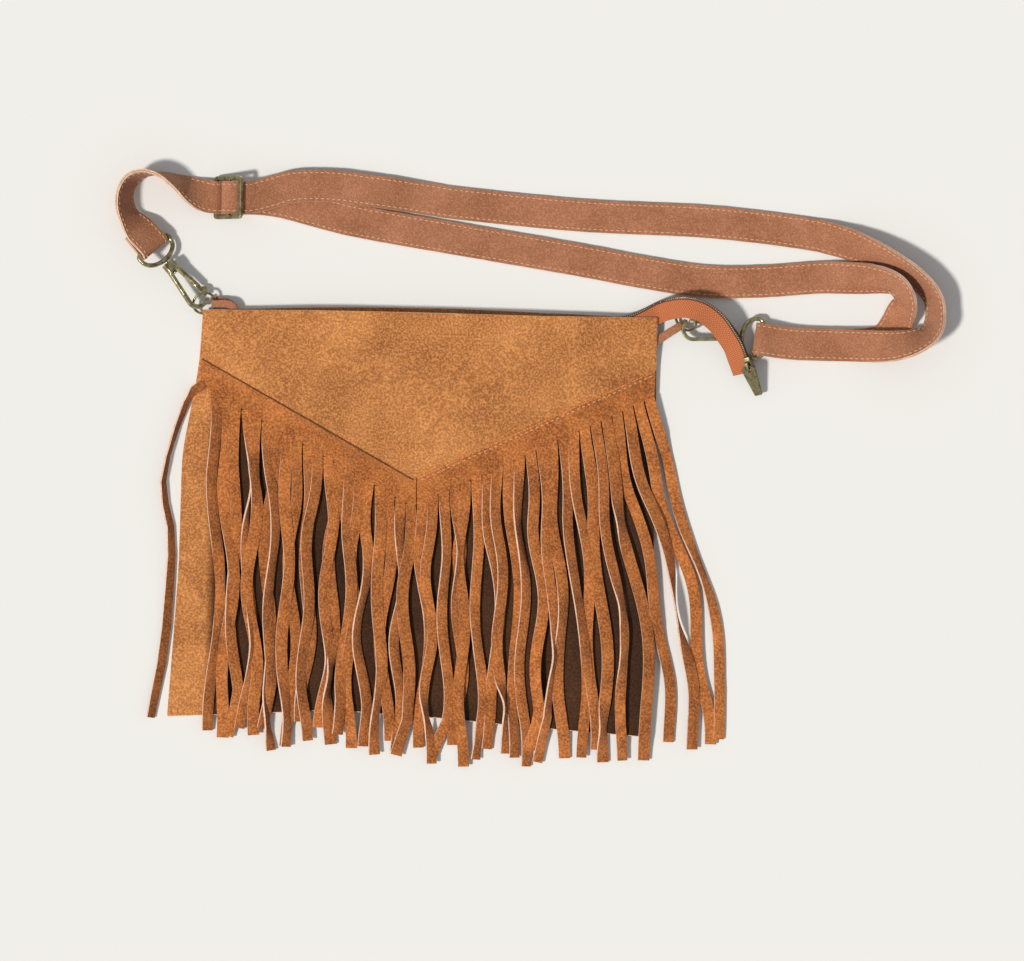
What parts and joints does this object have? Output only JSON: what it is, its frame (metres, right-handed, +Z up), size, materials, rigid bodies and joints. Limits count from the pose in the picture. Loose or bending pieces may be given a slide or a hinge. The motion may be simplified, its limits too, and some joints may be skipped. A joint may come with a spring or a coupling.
{
  "type": "fringed suede shoulder bag",
  "caption": "Flat suede shoulder bag with a V-shaped fringed front, a zip along the top and an adjustable strap on swivel snap hooks.",
  "frame": {"origin": "on the ground under the point of the V, in the flat face of the back panel", "axes": "+X to the bag's right as seen, +Y to its mouth, +Z up out of the front"},
  "size_m": [0.5173, 0.3695, 0.0242],
  "materials": {
    "tan_suede": "fine-napped suede",
    "fringe_suede": "fine-napped suede, cut edges",
    "strap_suede": "stitched suede",
    "zip_tape": "woven herringbone tape",
    "zip_metal": "dark oxidised",
    "antique_brass": "antique, worn bright on its edges"
  },
  "bodies": {
    "bag": {"back_panel": "tan_suede", "front_panel": "tan_suede", "fringe_left": "fringe_suede", "fringe_right": "fringe_suede", "zip_tape_front": "zip_tape", "zip_tape_back": "zip_tape", "zip_chain_front": "zip_metal", "zip_chain_back": "zip_metal", "zip_stop": "zip_metal", "tab_left": "strap_suede", "tab_right": "strap_suede", "strap": "strap_suede", "strap_buckle": "antique_brass"},
    "left_loop": {"hook_left_loop": "antique_brass"},
    "left_hook": {"hook_left_body": "antique_brass", "hook_left_gate_pin": "antique_brass"},
    "left_gate": {"hook_left_gate": "antique_brass"},
    "right_loop": {"hook_right_loop": "antique_brass"},
    "right_hook": {"hook_right_body": "antique_brass", "hook_right_gate_pin": "antique_brass"},
    "right_gate": {"hook_right_gate": "antique_brass"},
    "left_ring": {"ring_left": "antique_brass"},
    "right_ring": {"ring_right": "antique_brass"},
    "slider": {"zip_slider": "zip_metal"},
    "pull": {"zip_pull": "zip_metal"}
  },
  "joints": [
    {"name": "left_loop_tilt", "type": "hinge", "parent": "bag", "child": "left_loop", "pos_m": [-0.16491, 0.16296, 0.00935], "axis": [0.6623, 0.6188, -0.4224], "range_deg": [-0.5, 0.5]},
    {"name": "left_swivel", "type": "hinge", "parent": "left_loop", "child": "left_hook", "pos_m": [-0.15251, 0.14925, 0.0087], "axis": [0.6703, -0.7413, -0.035], "range_deg": [-1, 1]},
    {"name": "left_gate_hinge", "type": "hinge", "parent": "left_hook", "child": "left_gate", "pos_m": [-0.13786, 0.13997, 0.00595], "axis": [0.3348, 0.2599, 0.9057], "range_deg": [-6, 0], "stiffness_Nm_per_rad": 0.02, "springref_deg": 11.46},
    {"name": "right_loop_tilt", "type": "hinge", "parent": "bag", "child": "right_loop", "pos_m": [0.21541, 0.11191, 0.00486], "axis": [0.126, 0.992, 0], "range_deg": [-0.5, 0.5]},
    {"name": "right_swivel", "type": "hinge", "parent": "right_loop", "child": "right_hook", "pos_m": [0.19709, 0.11424, 0.00598], "axis": [-0.9902, 0.1258, 0.0609], "range_deg": [-4, 4]},
    {"name": "right_gate_hinge", "type": "hinge", "parent": "right_hook", "child": "right_gate", "pos_m": [0.1811, 0.12144, 0.007], "axis": [-0.0604, 0.0077, -0.9981], "range_deg": [-3, 0], "stiffness_Nm_per_rad": 0.02, "springref_deg": 11.46},
    {"name": "left_ring_swing", "type": "hinge", "parent": "bag", "child": "left_ring", "pos_m": [-0.12482, 0.12869, 0.00337], "axis": [0, 0.8652, 0.5014], "range_deg": [-0.5, 0.5]},
    {"name": "right_ring_swing", "type": "hinge", "parent": "bag", "child": "right_ring", "pos_m": [0.165, 0.11923, 0.00282], "axis": [0.707, -0.707, -0.0176], "range_deg": [-2, 2]},
    {"name": "slider_run", "type": "slide", "parent": "bag", "child": "slider", "axis": [-0.3608, 0.872, 0.3308], "range_m": [0, 0.005]},
    {"name": "pull_hinge", "type": "hinge", "parent": "slider", "child": "pull", "pos_m": [0.20792, 0.09304, 0.01145], "axis": [0.8909, 0.2174, 0.3988], "range_deg": [-30, 0]}
  ]
}
